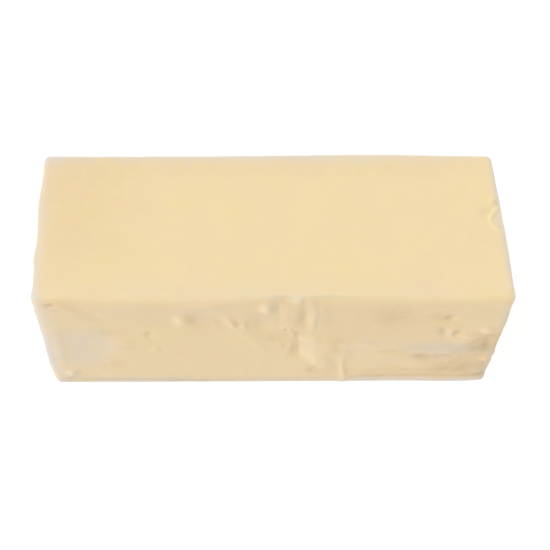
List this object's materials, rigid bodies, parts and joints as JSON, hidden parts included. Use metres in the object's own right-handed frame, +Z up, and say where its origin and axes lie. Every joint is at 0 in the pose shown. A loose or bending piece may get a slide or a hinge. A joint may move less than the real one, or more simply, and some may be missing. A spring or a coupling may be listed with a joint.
{
  "type": "mozzarella block",
  "caption": "Rectangular loaf of low-moisture mozzarella with softly rounded edges, a curd fold down its front and bag creases on its ends.",
  "frame": {"origin": "on the floor, under the middle of the block", "axes": "+X along the block's length, -Y out of the front with the curd fold, +Z up"},
  "size_m": [0.2666, 0.1049, 0.0997],
  "materials": {
    "cheese": "pale straw yellow cheese, close-grained, satin and slightly moist"
  },
  "bodies": {
    "root": {"mozzarella_block": "cheese"}
  },
  "joints": []
}
